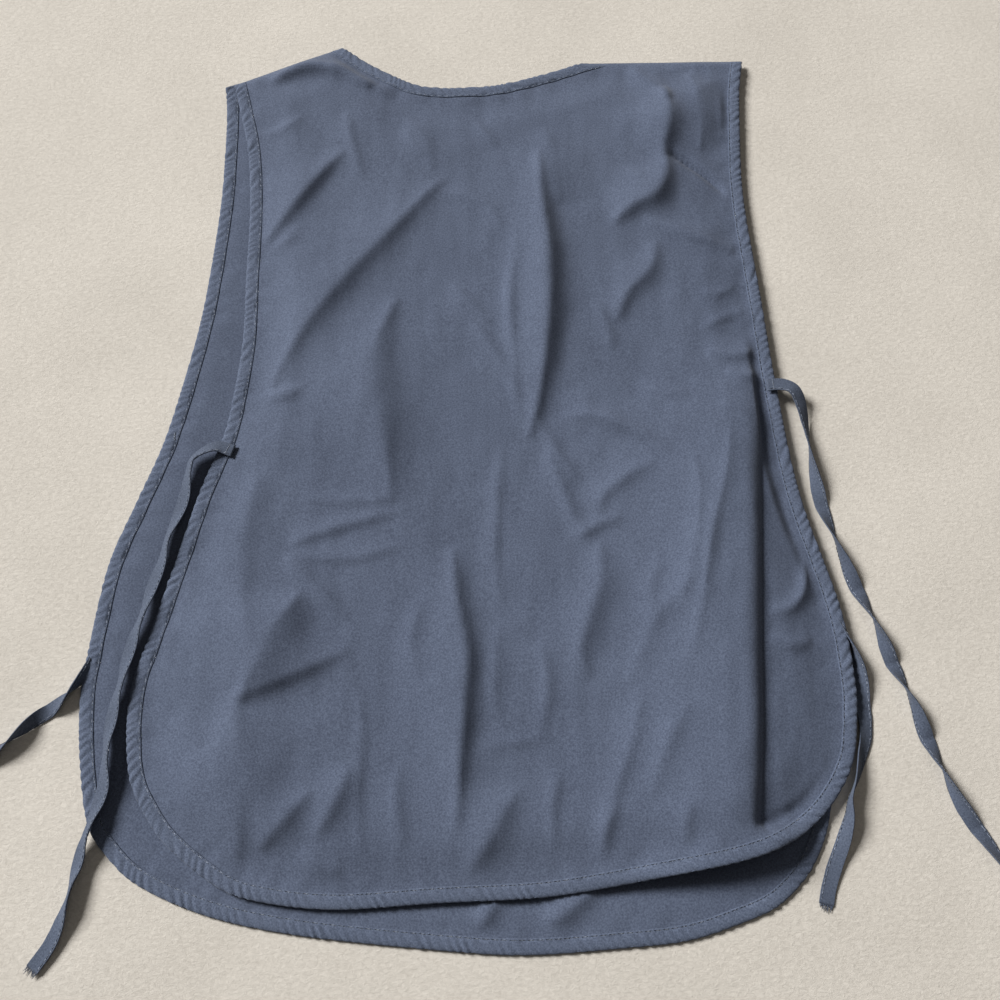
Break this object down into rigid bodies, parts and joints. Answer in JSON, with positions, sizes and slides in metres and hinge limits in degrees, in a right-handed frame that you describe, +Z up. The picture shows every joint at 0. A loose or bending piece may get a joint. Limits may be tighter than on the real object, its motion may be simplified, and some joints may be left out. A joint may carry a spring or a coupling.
{
  "type": "cobbler apron",
  "caption": "Slip-over cobbler apron of navy cloth, laid flat: two bound panels joined at the shoulders, with flat ties at the sides.",
  "frame": {"origin": "on the floor, under the middle of the apron's bounding box without its ties", "axes": "+Y towards the neck, +X to the right of the apron as it lies, +Z up from the floor"},
  "size_m": [0.7116, 0.7575, 0.0217],
  "materials": {
    "panel_cloth": "plain woven cotton blend, matt",
    "binding_cloth": "the panels' cloth cut on the bias, matt",
    "tie_tape": "the panels' cloth folded and edge stitched, matt"
  },
  "bodies": {
    "root": {"back_panel": "panel_cloth", "front_panel": "panel_cloth", "back_edge_binding": "binding_cloth", "front_edge_binding": "binding_cloth", "back_neck_binding": "binding_cloth", "front_neck_binding": "binding_cloth", "shoulder_seam_left": "panel_cloth", "shoulder_seam_right": "panel_cloth", "tie_back_left": "tie_tape", "tie_back_right": "tie_tape", "tie_front_left": "tie_tape", "tie_front_right": "tie_tape"}
  },
  "joints": []
}
